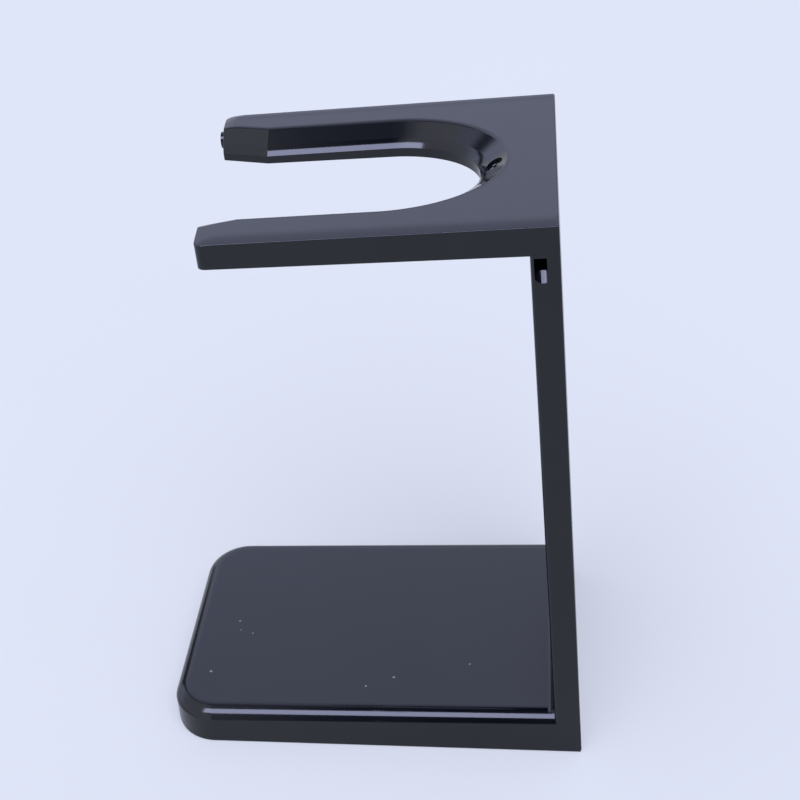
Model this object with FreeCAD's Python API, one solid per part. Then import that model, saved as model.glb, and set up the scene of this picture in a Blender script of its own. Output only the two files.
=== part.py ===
import FreeCAD, Part
import math
import os

# Moulded plastic drip stand for a shaving brush: a base, an upright and a horizontal fork.
# Millimetres, +Z up. X is the width, the open mouth faces -Y, the upright stands at +Y.
# The origin is the middle of the footprint, on the surface the stand rests on.

V = FreeCAD.Vector

# ---- driving dimensions -------------------------------------------------------------------
WIDTH = 45.0            # side to side, the same for fork, upright and base
DEPTH = 67.4            # front of the base to the heel of the upright
HEIGHT = 95.0           # underside to the rear top edge, measured along the upright
LEAN_DEG = 2.0          # the upright and fork tip forward over the base by this much

# base
BASE_TOP = 7.8          # height of the flat top of the base at its heel
BASE_SLOPE_DEG = 1.1    # the top falls by this slope towards the front
BASE_CORNER_R = 7.3     # front corners, seen from above
BASE_EDGE_R = 2.64      # rounding of the top edges; the side wall cuts it off before it turns vertical
BASE_EDGE_RUN = 2.5     # width of that rounding, seen from above
BASE_WALL = 2.0         # side and top walls around the hollow
HEEL_WALL = 6.5         # solid rear part of the base, under the upright

# closing plate under the base
PLATE_RIM = 0.7         # thickness of the rim that shows below the base walls
PLATE_STEP = 1.4        # raised step that locates inside the hollow
PLATE_FIT = 0.15        # clearance of that step all round
PLATE_INSET = 0.12      # the rim sits this far inside the base walls
PLATE_EDGE_R = 0.25     # broken lower edge of the rim
PANEL_MARGIN = 4.0      # border around the sunk panel of the underside
PANEL_DEPTH = 0.3
EJECTOR_R = 2.0         # round ejector marks in the sunk panel
EJECTOR_DEPTH = 0.12
EJECTOR_X = 11.0
EJECTOR_Y = (-19.0, 17.0)

# upright
COLUMN_T = 4.0          # front to back
COLUMN_FRONT_R = 0.6    # rounding of its two front edges
COLUMN_BACK_R = 0.3     # rounding of its two back edges, and the fork's
FOOT_FILLET_R = 1.0     # inside corner between upright and base
FOOT_FILLET_MARGIN = 1.2    # the inside corner stops this far from each side

# fork
FORK_T = 4.5            # thickness of the fork plate
FORK_TAPER = 0.45       # the underside rises by this much from the upright to the prong ends
FORK_LENGTH = 50.2      # back face to the prong ends, on the centre line
PRONG_SKEW_DEG = 3.8    # the prong ends are out of square: the prong at -X is the longer one
FORK_CROWN_R = 15.0     # the top face falls away towards its outer edges on this radius
FORK_CROWN_RUN = 3.1    # width of the strip that falls away
FORK_EDGE_R = 0.12      # broken outer top edges
PRONG_OUTER_R = 1.3     # outer upright corners of the prong ends
PRONG_INNER_R = 0.15    # broken edges of the prong ends on the slot side
SLOT_CENTRE = 24.5      # centre of the slot's oval end, measured from the back face
SLOT_STRETCH = 2.1      # the oval end is this much longer than a half circle
SLOT_TOP_HALF = 15.7    # half width of the slot where the slanting seat would meet the top face
SLOT_LOW_HALF = 11.5    # half width of the slot at the straight land below the seat
SEAT_DEG = 30.5         # slope of the seat
SEAT_ROOT_HALF = 10.8   # half width of the narrower wall that the seat rounds down towards
SEAT_TOP_R = 1.8        # rounding between top face and seat
SEAT_LOW_R = 4.0        # the seat steepens towards the land on this radius
MOUTH_LENGTH = 6.4      # the slot flares over this length behind the prong ends
MOUTH_FLARE = 1.9       # extra half width at the prong ends

# gate marks left by moulding
DIMPLE_R = 1.45         # round recess in the seat, at the closed end of the slot
DIMPLE_DEPTH = 0.35
DIMPLE_UP = 2.6         # from the edge where seat and top face would meet, down the slope
PIP_R = 0.28            # broken-off gate in the middle of the recess
PIP_H = 0.22
NUB_R = 1.3             # round mark on the end of one prong
NUB_H = 0.5
NUB_X = -17.6
NUB_Z = 2.2             # above the seam between fork and upright

# plug of the fork inside the top of the upright, with a snap nose at each side
PLUG_HALF = 18.0
PLUG_DEPTH = 8.0
SOCKET_FRONT = 0.5      # wall in front of the socket
SOCKET_T = 1.7          # front to back
PLUG_GAP = 0.1          # clearance between plug and socket
NOSE_REACH = 0.9        # how far a snap nose stands into its window
NOSE_TIP = 0.4          # height of the nose at its tip
NOSE_ROOT = 1.6         # height of the nose where it leaves the plug

# windows in the sides of the upright
WINDOW_TOP = 0.4        # bridge of material between window and seam
WINDOW_H = 3.7
SILL_RISE = 1.3         # height and depth of the sill, which slopes outwards
SILL_R = 1.6            # the sill is hollow on this radius
SILL_AXIS = 0.65        # its deepest line, as a fraction of the window's width from the front

# ---- derived ------------------------------------------------------------------------------
HALF_W = WIDTH / 2
HEEL = DEPTH / 2
COLUMN_FRONT = HEEL - COLUMN_T
SOCKET_Y = COLUMN_FRONT + SOCKET_FRONT
SEAM_Z = HEIGHT - FORK_T
FORK_TIP = HEEL - FORK_LENGTH

REACH = 20.0            # spare length for cutting shapes
SINK = 0.5              # how far joined shapes run into each other
NEAR = 0.01             # tolerance when edges are picked by position


def box(x0, x1, y0, y1, z0, z1):
    """Block between two corners."""
    return Part.makeBox(x1 - x0, y1 - y0, z1 - z0, V(x0, y0, z0))


def lean(shape):
    """Tip a shape forward about the heel line of the stand."""
    tipped = shape.copy()
    tipped.rotate(V(0, HEEL, 0), V(1, 0, 0), LEAN_DEG)
    return tipped


def near(value, target):
    return abs(value - target) < NEAR


def round_edges(shape, radius, test):
    """Round every edge whose middle point passes a test."""
    chosen = []
    for edge in shape.Edges:
        middle = edge.valueAt((edge.FirstParameter + edge.LastParameter) / 2)
        if test(middle):
            chosen.append(edge)
    return shape.makeFillet(radius, chosen)


# ---- base and upright ---------------------------------------------------------------------
def footprint(inset, rear):
    """Flat outline of the base: round front corners, square rear end at y = rear."""
    x = HALF_W - inset
    front = -HEEL + inset
    r = BASE_CORNER_R - inset
    k = r * (1 - math.sqrt(0.5))
    left = V(-x, front + r, 0)
    right = V(x, front + r, 0)
    front_left = V(-x + r, front, 0)
    front_right = V(x - r, front, 0)
    edges = [
        Part.makeLine(V(-x, rear, 0), left),
        Part.Arc(left, V(-x + k, front + k, 0), front_left).toShape(),
        Part.makeLine(front_left, front_right),
        Part.Arc(front_right, V(x - k, front + k, 0), right).toShape(),
        Part.makeLine(right, V(x, rear, 0)),
        Part.makeLine(V(x, rear, 0), V(-x, rear, 0)),
    ]
    return Part.Face(Part.Wire(edges))


def slab(inset, rear, z0, z1):
    """Straight-walled block with the outline of the base."""
    face = footprint(inset, rear)
    face.translate(V(0, 0, z0))
    return face.extrude(V(0, 0, z1 - z0))


def base_top_z(y):
    """Height of the sloping top of the base."""
    return BASE_TOP + (y - HEEL) * math.tan(math.radians(BASE_SLOPE_DEG))


def above_base_top(depth):
    """Everything higher than a surface that lies this deep below the top of the base."""
    waste = box(-WIDTH, WIDTH, -DEPTH, HEEL + REACH * 2, BASE_TOP - depth, BASE_TOP + REACH)
    waste.rotate(V(0, HEEL, BASE_TOP - depth), V(1, 0, 0), BASE_SLOPE_DEG)
    return waste


def make_base_block():
    """Base with rounded top edges; its rear end follows the lean of the upright."""
    long_rear = HEEL + REACH
    high = BASE_TOP + BASE_EDGE_R
    swell = BASE_EDGE_R - BASE_EDGE_RUN
    swollen = slab(-swell, long_rear, PLATE_RIM, high).cut(above_base_top(0))
    swollen = round_edges(
        swollen, BASE_EDGE_R, lambda p: near(p.z, base_top_z(p.y)) and p.y < long_rear - NEAR
    )
    block = swollen.common(slab(0, long_rear, PLATE_RIM, high))
    kept = lean(box(-WIDTH, WIDTH, -DEPTH * 2, HEEL, -REACH, HEIGHT))
    return block.common(kept)


def make_column():
    """Upright bar, tipped forward, cut off level at the top of the closing plate."""
    column = box(-HALF_W, HALF_W, COLUMN_FRONT, HEEL, -REACH, SEAM_Z)
    column = round_edges(
        column, COLUMN_FRONT_R, lambda p: near(p.y, COLUMN_FRONT) and near(abs(p.x), HALF_W)
    )
    column = round_edges(
        column, COLUMN_BACK_R, lambda p: near(p.y, HEEL) and near(abs(p.x), HALF_W)
    )
    above_plate = box(-WIDTH, WIDTH, 0, DEPTH, PLATE_RIM, HEIGHT + REACH)
    return lean(column).common(above_plate)


def make_foot_fillet():
    """Hollow-cornered strip that joins the front of the upright to the top of the base."""
    r = FOOT_FILLET_R
    x = HALF_W - FOOT_FILLET_MARGIN
    tilt = math.radians(LEAN_DEG)
    wall = HEEL - COLUMN_T * math.cos(tilt) - BASE_TOP * math.sin(tilt)
    foot = base_top_z(wall)
    strip = box(-x, x, wall - r, wall + SINK, foot - SINK, foot + r)
    hollow = Part.makeCylinder(r, WIDTH, V(-HALF_W, wall - r, foot + r), V(1, 0, 0))
    strip = strip.cut(hollow)
    strip.rotate(V(0, wall, foot), V(1, 0, 0), BASE_SLOPE_DEG)
    return strip


def window_cutter(side):
    """Opening through one side wall of the upright, with a hollow sill that slopes outwards."""
    top = SEAM_Z - WINDOW_TOP
    bottom = top - WINDOW_H
    y0 = SOCKET_Y
    y1 = SOCKET_Y + SOCKET_T
    inner = PLUG_HALF * side
    ramp = (HALF_W - SILL_RISE) * side
    outer = (HALF_W + 1) * side
    opening = box(min(inner, outer), max(inner, outer), y0, y1, bottom + SILL_RISE, top)
    downhill = V(side, 0, -1).normalize()
    uphill_end = V(ramp, y0 + SILL_AXIS * SOCKET_T, bottom + SILL_RISE)
    axis = uphill_end + V(side, 0, 1).normalize() * SILL_R - downhill * SILL_R
    hollow = Part.makeCylinder(SILL_R, SILL_RISE + SILL_R * 3, axis, downhill)
    room = box(min(ramp, outer), max(ramp, outer), y0, y1, bottom - 1, bottom + SILL_RISE)
    return opening.fuse(hollow.common(room))


def make_stand_body():
    """Base and upright in one moulding, hollow from below, socket in the top of the upright."""
    body = make_base_block().fuse([make_column(), make_foot_fillet()]).removeSplitter()
    hollow = slab(BASE_WALL, HEEL - HEEL_WALL, -1, BASE_TOP).cut(above_base_top(BASE_WALL))
    half = PLUG_HALF + PLUG_GAP
    floor = SEAM_Z - PLUG_DEPTH - PLUG_GAP
    socket = box(-half, half, SOCKET_Y, SOCKET_Y + SOCKET_T, floor, SEAM_Z + 1)
    return body.cut([
        hollow,
        lean(socket),
        lean(window_cutter(1)),
        lean(window_cutter(-1)),
    ])


# ---- closing plate ------------------------------------------------------------------------
def make_bottom_plate():
    """Thin plate: full-size rim, a step that fits the hollow, a sunk panel underneath."""
    rim = slab(PLATE_INSET, HEEL - PLATE_INSET, 0, PLATE_RIM)
    rim = round_edges(rim, PLATE_EDGE_R, lambda p: near(p.z, 0))
    step_rear = HEEL - HEEL_WALL - PLATE_FIT
    step = slab(BASE_WALL + PLATE_FIT, step_rear, PLATE_RIM, PLATE_RIM + PLATE_STEP)
    panel = slab(PANEL_MARGIN, HEEL - PANEL_MARGIN, -1, PANEL_DEPTH)
    marks = [
        Part.makeCylinder(EJECTOR_R, PANEL_DEPTH + EJECTOR_DEPTH, V(x, y, 0))
        for x in (-EJECTOR_X, EJECTOR_X)
        for y in EJECTOR_Y
    ]
    return rim.fuse(step).removeSplitter().cut(panel).cut(marks)


# ---- fork ---------------------------------------------------------------------------------
def tip_y(x):
    """Where the prong ends lie, at one distance from the centre line."""
    return FORK_TIP + x * math.tan(math.radians(PRONG_SKEW_DEG))


def slot_wire(half, z):
    """U-shaped outline of the brush slot at one height, run out past the prong ends."""
    bend = FORK_TIP + MOUTH_LENGTH
    end = FORK_TIP - REACH
    wide = half + MOUTH_FLARE * (bend - end) / MOUTH_LENGTH
    centre = HEEL - SLOT_CENTRE
    left = V(-half, centre, z)
    right = V(half, centre, z)
    throat = V(0, centre + half + SLOT_STRETCH, z)
    oval = Part.Ellipse(throat, right, V(0, centre, z))
    edges = [
        Part.makeLine(V(-wide, end, z), V(-half, bend, z)),
        Part.makeLine(V(-half, bend, z), left),
        Part.ArcOfEllipse(oval, -math.pi / 2, math.pi / 2).toShape(),
        Part.makeLine(right, V(half, bend, z)),
        Part.makeLine(V(half, bend, z), V(wide, end, z)),
        Part.makeLine(V(wide, end, z), V(-wide, end, z)),
    ]
    return Part.Wire(edges)


def slot_prism(half, z0, z1):
    """Straight-walled slot between two heights."""
    return Part.Face(slot_wire(half, z0)).extrude(V(0, 0, z1 - z0))


def cut_seat(block):
    """Slanting seat: rounded rim above, rounded more and more steeply on its way down."""
    slope = math.tan(math.radians(SEAT_DEG))
    foot = HEIGHT - (SLOT_TOP_HALF - SEAT_ROOT_HALF) * slope
    low = slot_wire(SEAT_ROOT_HALF, foot)
    high = slot_wire(SLOT_TOP_HALF + 1 / slope, HEIGHT + 1)
    seat = Part.makeLoft([low, high], True, True)
    root = slot_prism(SEAT_ROOT_HALF, SEAM_Z - REACH * 2, foot)
    block = block.cut(seat.fuse(root))
    block = round_edges(block, SEAT_LOW_R, lambda p: near(p.z, foot) and p.y > tip_y(p.x) + NEAR)
    throat = HEEL - SLOT_CENTRE + SLOT_STRETCH + SLOT_TOP_HALF
    mouth = SLOT_TOP_HALF + MOUTH_FLARE

    def on_rim(p):
        inside = abs(p.x) < mouth and tip_y(p.x) + NEAR < p.y < throat + NEAR
        return inside and p.z > HEIGHT - NEAR

    return round_edges(block, SEAT_TOP_R, on_rim)


def gate_dimple():
    """Round recess half way up the seat at the closed end of the slot, and the pip in it."""
    slope = math.radians(SEAT_DEG)
    normal = V(0, -math.sin(slope), math.cos(slope))
    rise = DIMPLE_UP * math.sin(slope)
    run = DIMPLE_UP * math.cos(slope)
    throat = HEEL - SLOT_CENTRE + SLOT_STRETCH + SLOT_TOP_HALF
    middle = V(0, throat - run, HEIGHT - rise)
    floor = middle - normal * DIMPLE_DEPTH
    recess = Part.makeCylinder(DIMPLE_R, DIMPLE_R, floor, normal)
    pip = Part.makeCylinder(PIP_R, PIP_H + SINK, floor - normal * SINK, normal)
    return recess, pip


def make_nose(side, y0, y1):
    """Snap nose on one end of the plug: square top, slanting underside."""
    root = (PLUG_HALF - SINK) * side
    tip = (PLUG_HALF + NOSE_REACH) * side
    top = SEAM_Z - WINDOW_TOP - PLUG_GAP
    points = [
        V(root, y0, top),
        V(tip, y0, top),
        V(tip, y0, top - NOSE_TIP),
        V(root, y0, top - NOSE_ROOT),
        V(root, y0, top),
    ]
    return Part.Face(Part.makePolygon(points)).extrude(V(0, y1 - y0, 0))


def make_plug():
    """Tongue below the fork with a snap nose at each end."""
    y0 = SOCKET_Y + PLUG_GAP
    y1 = SOCKET_Y + SOCKET_T - PLUG_GAP
    tongue = box(-PLUG_HALF, PLUG_HALF, y0, y1, SEAM_Z - PLUG_DEPTH, SEAM_Z + 1)
    return tongue.fuse([make_nose(1, y0, y1), make_nose(-1, y0, y1)])


def fork_block(swell, rear, z0):
    """Block with the outline of the fork, grown outwards by a swell, up to the top face."""
    x = HALF_W + swell
    grow = swell / math.cos(math.radians(PRONG_SKEW_DEG))
    points = [
        V(-x, rear, z0),
        V(-x, tip_y(-x) - grow, z0),
        V(x, tip_y(x) - grow, z0),
        V(x, rear, z0),
        V(-x, rear, z0),
    ]
    block = Part.Face(Part.makePolygon(points)).extrude(V(0, 0, HEIGHT - z0))
    return round_edges(
        block, PRONG_OUTER_R + swell, lambda p: near(abs(p.x), x) and p.y < 0 and z0 < p.z < HEIGHT
    )


def make_fork_blank():
    """Fork plate before the slot: the top face falls away towards its outer edges."""
    rear = HEEL + REACH
    deep = SEAM_Z - REACH
    crown = fork_block(FORK_CROWN_R - FORK_CROWN_RUN, rear, deep - REACH)
    crown = round_edges(
        crown, FORK_CROWN_R, lambda p: near(p.z, HEIGHT) and p.y < rear - NEAR
    )
    return fork_block(0, HEEL, deep).common(crown)


def soften_outer_edges(blank):
    """Small rounding where the top face meets the outer walls, and on the two rear corners."""
    drop = FORK_CROWN_R - math.sqrt(FORK_CROWN_R ** 2 - FORK_CROWN_RUN ** 2)
    lowest = HEIGHT - drop

    def on_rim(p):
        outside = abs(p.x) > HALF_W - PRONG_OUTER_R or near(p.y, tip_y(p.x))
        return outside and abs(p.z - lowest) < drop / 2 and p.y < HEEL - NEAR

    soft = round_edges(blank, FORK_EDGE_R, on_rim)
    return round_edges(
        soft, COLUMN_BACK_R, lambda p: near(p.y, HEEL) and near(abs(p.x), HALF_W)
    )


def underside_waste():
    """Everything below the fork: level over the upright, rising towards the prong ends."""
    front = FORK_TIP - REACH
    rise = FORK_TAPER / (COLUMN_FRONT - FORK_TIP)
    low = SEAM_Z - REACH * 2
    points = [
        V(-WIDTH, HEEL + REACH, low),
        V(-WIDTH, HEEL + REACH, SEAM_Z),
        V(-WIDTH, COLUMN_FRONT, SEAM_Z),
        V(-WIDTH, front, SEAM_Z + rise * (COLUMN_FRONT - front)),
        V(-WIDTH, front, low),
        V(-WIDTH, HEEL + REACH, low),
    ]
    return Part.Face(Part.makePolygon(points)).extrude(V(WIDTH * 2, 0, 0))


def make_fork_plate():
    """Plate with the slot: seat, land and underside, then the corners of the prong ends."""
    blank = make_fork_blank()
    plate = cut_seat(blank)
    plate = plate.cut(slot_prism(SLOT_LOW_HALF, SEAM_Z - REACH * 2, HEIGHT))
    plate = plate.cut(underside_waste())
    mouth = SLOT_TOP_HALF + MOUTH_FLARE
    plate = round_edges(
        plate, PRONG_INNER_R,
        lambda p: near(p.y, tip_y(p.x)) and abs(p.x) < mouth
        and SEAM_Z + FORK_TAPER + NEAR < p.z < HEIGHT - NEAR,
    )
    return plate.common(soften_outer_edges(blank))


def make_fork():
    """Finished fork: plate, gate marks on it and the plug below."""
    recess, pip = gate_dimple()
    nub_start = V(NUB_X, tip_y(NUB_X) - NUB_H, SEAM_Z + NUB_Z)
    nub = Part.makeCylinder(NUB_R, NUB_H + SINK, nub_start, V(0, 1, 0))
    plate = make_fork_plate().cut(recess)
    return lean(plate.fuse([pip, nub, make_plug()]).removeSplitter())


def main():
    os.makedirs("parts", exist_ok=True)
    parts = {
        "fork": make_fork(),
        "stand_body": make_stand_body(),
        "bottom_plate": make_bottom_plate(),
    }
    for name, shape in parts.items():
        shape.exportStep(f"parts/{name}.step")


if __name__ == "__main__":
    main()
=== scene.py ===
import math

import bpy
from mathutils import Matrix, Vector


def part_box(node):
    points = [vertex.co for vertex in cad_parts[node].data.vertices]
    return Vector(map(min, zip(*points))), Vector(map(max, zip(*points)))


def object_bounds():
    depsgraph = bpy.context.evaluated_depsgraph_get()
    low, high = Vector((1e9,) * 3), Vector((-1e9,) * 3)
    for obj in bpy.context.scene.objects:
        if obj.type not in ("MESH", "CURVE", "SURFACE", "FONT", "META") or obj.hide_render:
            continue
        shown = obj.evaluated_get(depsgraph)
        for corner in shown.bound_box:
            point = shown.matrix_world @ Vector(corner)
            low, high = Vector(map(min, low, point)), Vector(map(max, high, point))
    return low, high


# Black moulded-plastic drip stand for a shaving brush, on a plain pale floor.
# Metres, +Z up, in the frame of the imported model.

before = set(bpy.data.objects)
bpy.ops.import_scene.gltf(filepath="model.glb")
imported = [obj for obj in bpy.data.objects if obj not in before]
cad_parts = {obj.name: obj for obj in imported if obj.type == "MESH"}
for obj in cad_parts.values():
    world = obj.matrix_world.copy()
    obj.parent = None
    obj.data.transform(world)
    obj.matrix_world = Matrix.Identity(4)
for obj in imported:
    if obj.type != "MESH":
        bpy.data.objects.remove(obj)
cad_low, cad_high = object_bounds()

MM = 0.001

# ---- colours (linear) ---------------------------------------------------------------------
PALE = (0.79, 0.837, 0.998)             # backdrop and the light that falls on the floor
WALL = (0.90, 0.975, 1.347)             # what the gloss mirrors from the back wall
SIDE_WALL = (0.97, 1.02, 1.16)          # and from the wall that the open mouth faces
KEY = (0.65, 0.68, 1.0)                 # soft box
PLASTIC_DARK = (0.0026, 0.0030, 0.0062, 1)
PLASTIC_LIGHT = (0.0044, 0.0050, 0.0088, 1)
DUST = (0.30, 0.31, 0.33, 1)
PAPER_DARK = (0.558, 0.558, 0.561, 1)
PAPER_LIGHT = (0.579, 0.579, 0.579, 1)
PAPER_GLOW = (0.745, 0.791, 0.947, 1)   # the paper's own light

# ---- plastic: noise scales in features per metre, lengths in metres -----------------------
PLASTIC_IOR = 1.5
CLOUD_SCALE = 60
CLOUD_BAND = (0.35, 0.65)               # noise values between which the pigment changes
SCRATCH_SCALE = 700
SCRATCH_STRETCH = (1, 0.06, 1)
SCRATCH_TURN_DEG = (0, 0, 24)
SCRATCH_HALF_WIDTH = 0.012              # in noise value either side of the middle
SCRATCH_ROUGHER = 0.12                  # added to the roughness
SCRATCH_DEPTH = 0.000004
PATCH_SCALE = 90                        # patches that have scratches
PATCH_BAND = (0.60, 0.72)
SMEAR_SCALE = 45                        # handling marks, where the gloss is duller
SMEAR_BAND = (0.4, 0.75)
SMEAR_STRETCH = (1, 0.5, 1)
SMEAR_ROUGHER = 0.05
DUST_ROUGHNESS = 0.7
WAVE_SCALE = 110
WAVE_STRETCH = (1, 0.35, 1)
WAVE_HEIGHT = 0.000004
SKIN_SCALE = 2600
SKIN_HEIGHT = 0.0000012
POLISHED = 0.10                         # roughness of the outer pieces
MATT = 0.32                             # roughness of the plate underneath
SMOOTH_DEG = 22                         # edges flatter than this are shaded smoothly

# ---- floor --------------------------------------------------------------------------------
FLOOR_SIZE = 12
PAPER_SCALE = 9
GLOW_SEEN = 0.4
GLOW_MIRRORED = 0.22

# ---- studio that only the gloss mirrors ---------------------------------------------------
# Ramps of brightness. These three go by the angle in degrees from the zenith towards +X, in
# the plane across the stand, so the back wall is on the negative side.
WALL_FOOT = dict(low=-80, high=-57, out_low=0.5, out_high=1.13)
WALL_HEAD = dict(low=-57, high=-49, out_low=1.0, out_high=0.92)
CEILING = dict(low=-44, high=8, out_low=1.0, out_high=0.04)
# This one goes by how far the direction leans to +Y.
SIDE_EDGE = dict(low=-0.12, high=-0.34, out_low=0.0, out_high=0.85)
# The dark gap between those two walls, by compass angle in degrees from -X towards -Y.
GAP_START = dict(low=37, high=43, out_low=1.0, out_high=0.1)
GAP_END = dict(low=45, high=51, out_low=0.1, out_high=1.0)
# Below the horizon, by how far the direction leans to +Z.
HORIZON = dict(low=0.0, high=0.02, out_low=1.0, out_high=0.0)
# From the back wall's tint to the side wall's, by how much brighter the side wall is.
TINT_EDGE = dict(low=0.0, high=0.3)

# ---- lights -------------------------------------------------------------------------------
EVEN_SHARE = 0.5                        # part of the floor's light that comes from all sides
MIDDLE = Vector((0, 0, 0.05))           # of the stand
KEY_LEAN = math.radians(35)             # soft box, from the zenith towards +X
KEY_ASIDE = -0.15                       # and a little towards -Y
KEY_DISTANCE = 1.2
KEY_WIDTH = 1.0
KEY_HEIGHT = 0.66
KEY_WATTS = 17.5
SUN_WAY = Vector((-0.55, -0.08, -1)).normalized()
SUN_SPREAD = math.radians(60)

# ---- camera -------------------------------------------------------------------------------
CAMERA_PLACE = Vector((0.19994, 0.02775, 0.18479))
YAW, DOWN, ROLL = (math.radians(v) for v in (10.783, 31.018, -6.192))
SENSOR_WIDTH = 36
LENS = 68.289
SHIFT = (0.1332, -0.0610)
CLIP = (0.01, 50)


# ---- node helpers -------------------------------------------------------------------------
def add(tree, kind, **settings):
    """New node, with its properties and unlinked inputs set by name."""
    node = tree.nodes.new(kind)
    for name, value in settings.items():
        if hasattr(node, name):
            setattr(node, name, value)
        else:
            node.inputs[name].default_value = value
    return node


def math_node(tree, operation, a, b=None):
    """Math node; a and b are sockets or numbers."""
    node = add(tree, "ShaderNodeMath", operation=operation)
    for socket, value in zip(node.inputs, (a, b)):
        if value is None:
            continue
        if isinstance(value, (int, float)):
            socket.default_value = value
        else:
            tree.links.new(value, socket)
    return node.outputs[0]


def smooth_step(tree, value, low, high, out_low=0.0, out_high=1.0):
    """Smooth ramp of a socket from low to high."""
    node = add(tree, "ShaderNodeMapRange", interpolation_type="SMOOTHSTEP")
    node.inputs["From Min"].default_value = low
    node.inputs["From Max"].default_value = high
    node.inputs["To Min"].default_value = out_low
    node.inputs["To Max"].default_value = out_high
    tree.links.new(value, node.inputs["Value"])
    return node.outputs["Result"]


def noise(tree, vector, scale, detail, roughness=0.5):
    """Noise value around 0.5; scale is in features per metre."""
    node = add(tree, "ShaderNodeTexNoise", Scale=scale, Detail=detail, Roughness=roughness)
    tree.links.new(vector, node.inputs["Vector"])
    return node.outputs["Fac"]


def stretched(tree, vector, stretch, turn_deg=(0, 0, 0)):
    """Coordinates squeezed along some axes, for streaks."""
    turn = [math.radians(v) for v in turn_deg]
    node = add(tree, "ShaderNodeMapping", Scale=stretch, Rotation=turn)
    tree.links.new(vector, node.inputs["Vector"])
    return node.outputs["Vector"]


def mix_colours(tree, factor, first, second):
    """Colour between two others; each is a socket or four numbers."""
    node = add(tree, "ShaderNodeMix", data_type="RGBA")
    # a Mix node has a set of sockets for each data type; these are the ones for colour
    factor_in, first_in, second_in, result = (
        node.inputs[0], node.inputs[6], node.inputs[7], node.outputs[2]
    )
    tree.links.new(factor, factor_in)
    for socket, colour in ((first_in, first), (second_in, second)):
        if isinstance(colour, tuple):
            socket.default_value = colour
        else:
            tree.links.new(colour, socket)
    return result


def bump(tree, height, distance, normal=None, invert=False):
    """Relief of a height socket, on top of another relief where one is given."""
    node = add(tree, "ShaderNodeBump", Strength=1.0, Distance=distance, invert=invert)
    tree.links.new(height, node.inputs["Height"])
    if normal is not None:
        tree.links.new(normal, node.inputs["Normal"])
    return node.outputs[0]


def object_coordinates(tree):
    """Position in the object's own frame, metres."""
    return tree.nodes.new("ShaderNodeTexCoord").outputs["Object"]


def is_mirrored(tree):
    """1 on rays that a glossy surface sends out, 0 on all others."""
    return tree.nodes.new("ShaderNodeLightPath").outputs["Is Glossy Ray"]


# ---- plastic ------------------------------------------------------------------------------
def scratches(tree, place):
    """Thin lines where a stretched noise crosses its middle, in patches."""
    along = stretched(tree, place, SCRATCH_STRETCH, SCRATCH_TURN_DEG)
    lines = noise(tree, along, SCRATCH_SCALE, detail=1)
    near_middle = math_node(tree, "ABSOLUTE", math_node(tree, "SUBTRACT", lines, 0.5))
    hair = smooth_step(tree, near_middle, 0.0, SCRATCH_HALF_WIDTH, 1, 0)
    patches = smooth_step(tree, noise(tree, place, PATCH_SCALE, detail=2), *PATCH_BAND)
    return math_node(tree, "MULTIPLY", hair, patches)


def dust_mask(tree, place, specks):
    """1 on the specks, fading over the outer half of each; specks as for plastic()."""
    dust = None
    for x, y, z, radius in specks:
        spot = add(tree, "ShaderNodeVectorMath", operation="DISTANCE")
        tree.links.new(place, spot.inputs[0])
        spot.inputs[1].default_value = (x * MM, y * MM, z * MM)
        mask = smooth_step(tree, spot.outputs["Value"], radius * 0.5 * MM, radius * MM, 1, 0)
        dust = mask if dust is None else math_node(tree, "MAXIMUM", dust, mask)
    return dust


def plastic(name, rough, specks=()):
    """Black moulding: uneven gloss, faint flow waves, hairline scratches and dust.

    rough is the lowest roughness, specks a list of (x, y, z, radius) in millimetres for the
    dust that lies on it.
    """
    material = bpy.data.materials.new(name)
    material.use_nodes = True
    tree = material.node_tree
    shader = tree.nodes["Principled BSDF"]
    shader.inputs["IOR"].default_value = PLASTIC_IOR
    place = object_coordinates(tree)

    # faint cloudiness of the pigment
    cloud = smooth_step(tree, noise(tree, place, CLOUD_SCALE, detail=4), *CLOUD_BAND)
    colour = mix_colours(tree, cloud, PLASTIC_DARK, PLASTIC_LIGHT)

    # handling marks are broad patches with a duller gloss, scratches are duller too
    scratch = scratches(tree, place)
    smear = noise(
        tree, stretched(tree, place, SMEAR_STRETCH), SMEAR_SCALE, detail=5, roughness=0.6
    )
    smear = smooth_step(tree, smear, *SMEAR_BAND)
    gloss = math_node(tree, "MULTIPLY_ADD", smear, SMEAR_ROUGHER)
    tree.links.new(math_node(tree, "MULTIPLY", scratch, SCRATCH_ROUGHER), gloss.node.inputs[2])
    roughness = math_node(tree, "ADD", gloss, rough)

    if specks:
        dust = dust_mask(tree, place, specks)
        colour = mix_colours(tree, dust, colour, DUST)
        dull = math_node(tree, "MULTIPLY", dust, DUST_ROUGHNESS)
        roughness = math_node(tree, "MAXIMUM", roughness, dull)
    tree.links.new(colour, shader.inputs["Base Color"])
    tree.links.new(roughness, shader.inputs["Roughness"])

    # relief: slow flow waves, a fine skin and the scratches
    flow = noise(tree, stretched(tree, place, WAVE_STRETCH), WAVE_SCALE, detail=2)
    skin = noise(tree, place, SKIN_SCALE, detail=2)
    relief = bump(tree, flow, WAVE_HEIGHT)
    relief = bump(tree, skin, SKIN_HEIGHT, relief)
    relief = bump(tree, scratch, SCRATCH_DEPTH, relief, invert=True)
    tree.links.new(relief, shader.inputs["Normal"])
    return material


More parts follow.
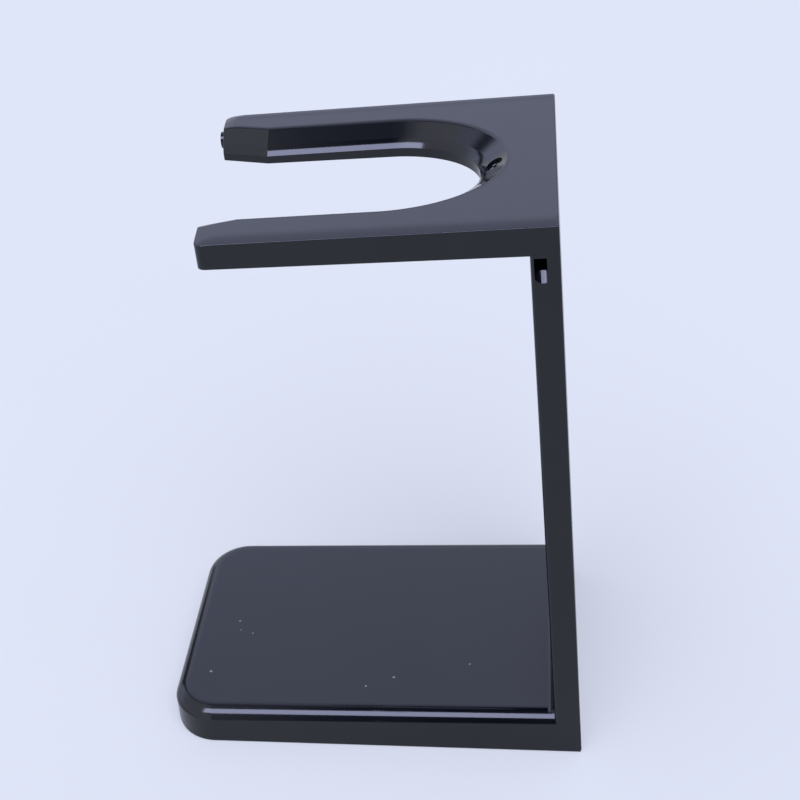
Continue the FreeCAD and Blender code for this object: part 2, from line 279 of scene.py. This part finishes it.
def smooth_shading_group(angle_deg):
    """Geometry nodes that shade smoothly over edges flatter than the angle."""
    group = bpy.data.node_groups.new("smooth_shading", "GeometryNodeTree")
    group.interface.new_socket("Geometry", in_out="INPUT", socket_type="NodeSocketGeometry")
    group.interface.new_socket("Geometry", in_out="OUTPUT", socket_type="NodeSocketGeometry")
    start = group.nodes.new("NodeGroupInput")
    end = group.nodes.new("NodeGroupOutput")
    faces = group.nodes.new("GeometryNodeSetShadeSmooth")
    edges = group.nodes.new("GeometryNodeSetShadeSmooth")
    edges.domain = "EDGE"
    edges.inputs["Shade Smooth"].default_value = False
    fold = group.nodes.new("GeometryNodeInputMeshEdgeAngle")
    sharp = group.nodes.new("FunctionNodeCompare")
    sharp.data_type = "FLOAT"
    sharp.operation = "GREATER_THAN"
    sharp.inputs[1].default_value = math.radians(angle_deg)
    group.links.new(start.outputs[0], faces.inputs["Geometry"])
    group.links.new(faces.outputs[0], edges.inputs["Geometry"])
    group.links.new(fold.outputs["Unsigned Angle"], sharp.inputs[0])
    group.links.new(sharp.outputs[0], edges.inputs["Selection"])
    group.links.new(edges.outputs[0], end.inputs[0])
    return group


# ---- dress the CAD nodes ------------------------------------------------------------------
BASE_HEEL = 33.7                        # rear end of the base, mm
HEEL_RISE = 7.1                         # from the body's foot to its top there, mm
BASE_SLOPE = math.tan(math.radians(1.1))    # the top falls towards the front
BASE_HEEL_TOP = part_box("stand_body")[0].z / MM + HEEL_RISE


def on_base(x, y, radius):
    """Dust speck on the sloping top of the base, millimetres."""
    return x, y, BASE_HEEL_TOP + (y - BASE_HEEL) * BASE_SLOPE, radius


BASE_DUST = [
    on_base(0.15, -25.09, 0.22),
    on_base(2.50, -24.55, 0.16),
    on_base(3.30, -22.30, 0.18),
    on_base(12.87, -28.04, 0.30),
    on_base(13.88, 3.25, 0.28),
    on_base(16.01, -1.24, 0.24),
    on_base(10.60, 15.69, 0.24),
]
FINISHES = {
    "fork": plastic("fork_plastic", POLISHED),
    "stand_body": plastic("body_plastic", POLISHED, BASE_DUST),
    "bottom_plate": plastic("plate_plastic", MATT),
}
smooth_group = smooth_shading_group(SMOOTH_DEG)
for name, material in FINISHES.items():
    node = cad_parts[name]
    if not node.material_slots:
        node.data.materials.append(material)
    for slot in node.material_slots:
        slot.material = material
    node.modifiers.new("smooth_shading", "NODES").node_group = smooth_group


# ---- floor --------------------------------------------------------------------------------
def floor_paper():
    """Matt paper. It glows a little, which keeps the shadows pale; gloss mirrors less of that."""
    paper = bpy.data.materials.new("floor_paper")
    paper.use_nodes = True
    tree = paper.node_tree
    shader = tree.nodes["Principled BSDF"]
    shader.inputs["Roughness"].default_value = 1.0
    shader.inputs["Specular IOR Level"].default_value = 0.0
    fibres = noise(tree, object_coordinates(tree), PAPER_SCALE, detail=3)
    colour = mix_colours(tree, fibres, PAPER_DARK, PAPER_LIGHT)
    tree.links.new(colour, shader.inputs["Base Color"])
    shader.inputs["Emission Color"].default_value = PAPER_GLOW
    glow = smooth_step(tree, is_mirrored(tree), 0, 1, GLOW_SEEN, GLOW_MIRRORED)
    tree.links.new(glow, shader.inputs["Emission Strength"])
    return paper


bpy.ops.mesh.primitive_plane_add(size=FLOOR_SIZE, location=(0, 0, cad_low.z))
floor = bpy.context.object
floor.name = "floor"
floor.data.materials.append(floor_paper())


# ---- light --------------------------------------------------------------------------------
def studio_walls(tree):
    """Pale walls round the stand with a dark gap between them, and a dark ceiling."""
    split = tree.nodes.new("ShaderNodeSeparateXYZ")
    tree.links.new(tree.nodes.new("ShaderNodeTexCoord").outputs["Generated"], split.inputs[0])
    dx, dy, dz = split.outputs
    degrees = 180 / math.pi

    across = math_node(tree, "MULTIPLY", math_node(tree, "ARCTAN2", dx, dz), degrees)
    back = math_node(
        tree, "MULTIPLY",
        smooth_step(tree, across, **WALL_FOOT),
        smooth_step(tree, across, **WALL_HEAD),
    )
    back = math_node(tree, "MULTIPLY", back, smooth_step(tree, across, **CEILING))
    side = smooth_step(tree, dy, **SIDE_EDGE)

    compass = math_node(
        tree, "ARCTAN2", math_node(tree, "MULTIPLY", dy, -1), math_node(tree, "MULTIPLY", dx, -1)
    )
    compass = math_node(tree, "MULTIPLY", compass, degrees)
    gap = math_node(
        tree, "MAXIMUM",
        smooth_step(tree, compass, **GAP_START),
        smooth_step(tree, compass, **GAP_END),
    )
    level = math_node(tree, "MULTIPLY", math_node(tree, "MAXIMUM", back, side), gap)
    level = math_node(tree, "MAXIMUM", level, smooth_step(tree, dz, **HORIZON))

    lead = math_node(tree, "SUBTRACT", side, back)
    colour = mix_colours(
        tree, smooth_step(tree, lead, **TINT_EDGE), (*WALL, 1), (*SIDE_WALL, 1)
    )
    walls = tree.nodes.new("ShaderNodeBackground")
    tree.links.new(level, walls.inputs["Strength"])
    tree.links.new(colour, walls.inputs["Color"])
    return walls.outputs[0]


def studio_world():
    """Even pale fill for everything but the gloss, which mirrors the studio walls."""
    world = bpy.data.worlds.new("studio")
    world.use_nodes = True
    world.cycles.sampling_method = "NONE"
    tree = world.node_tree
    tree.nodes.clear()
    fill = add(tree, "ShaderNodeBackground", Color=(*PALE, 1), Strength=EVEN_SHARE)
    pick = tree.nodes.new("ShaderNodeMixShader")
    output = tree.nodes.new("ShaderNodeOutputWorld")
    tree.links.new(is_mirrored(tree), pick.inputs[0])
    tree.links.new(fill.outputs[0], pick.inputs[1])
    tree.links.new(studio_walls(tree), pick.inputs[2])
    tree.links.new(pick.outputs[0], output.inputs[0])
    return world


def add_light(name, kind, colour, energy, way):
    """Light object that shines along a direction."""
    data = bpy.data.lights.new(name, kind)
    data.color = colour
    data.energy = energy
    light = bpy.data.objects.new(name, data)
    bpy.context.scene.collection.objects.link(light)
    light.rotation_mode = "QUATERNION"
    light.rotation_quaternion = way.to_track_quat("-Z", "Y")
    return light


bpy.context.scene.world = studio_world()

# soft box above the camera's side: only the gloss shows it
key_way = Vector((math.sin(KEY_LEAN), KEY_ASIDE, math.cos(KEY_LEAN)))
key_centre = MIDDLE + KEY_DISTANCE * key_way
soft_box = add_light("soft_box", "AREA", KEY, KEY_WATTS, MIDDLE - key_centre)
soft_box.location = key_centre
soft_box.data.shape = "RECTANGLE"
soft_box.data.size = KEY_WIDTH
soft_box.data.size_y = KEY_HEIGHT
soft_box.visible_diffuse = False
soft_box.visible_camera = False

# broad light from the camera's side: it only lifts the matt floor and the pigment
sun_energy = math.pi * (1 - EVEN_SHARE) / -SUN_WAY.z
broad_light = add_light("broad_light", "SUN", PALE, sun_energy, SUN_WAY)
broad_light.data.angle = SUN_SPREAD
broad_light.visible_glossy = False

# ---- camera -------------------------------------------------------------------------------
level_way = Vector((-math.cos(YAW), -math.sin(YAW), 0))
forward = math.cos(DOWN) * level_way - math.sin(DOWN) * Vector((0, 0, 1))
beside = forward.cross(Vector((0, 0, 1))).normalized()
above = beside.cross(forward)
right = math.cos(ROLL) * beside + math.sin(ROLL) * above
up = -math.sin(ROLL) * beside + math.cos(ROLL) * above
camera_data = bpy.data.cameras.new("camera")
camera_data.sensor_width = SENSOR_WIDTH
camera_data.lens = LENS
camera_data.shift_x, camera_data.shift_y = SHIFT
camera_data.clip_start, camera_data.clip_end = CLIP
camera = bpy.data.objects.new("camera", camera_data)
bpy.context.scene.collection.objects.link(camera)
turn = Matrix((right, up, -forward)).transposed().to_4x4()
camera.matrix_world = Matrix.Translation(CAMERA_PLACE) @ turn
bpy.context.scene.camera = camera
bpy.context.scene.view_settings.view_transform = "Standard"
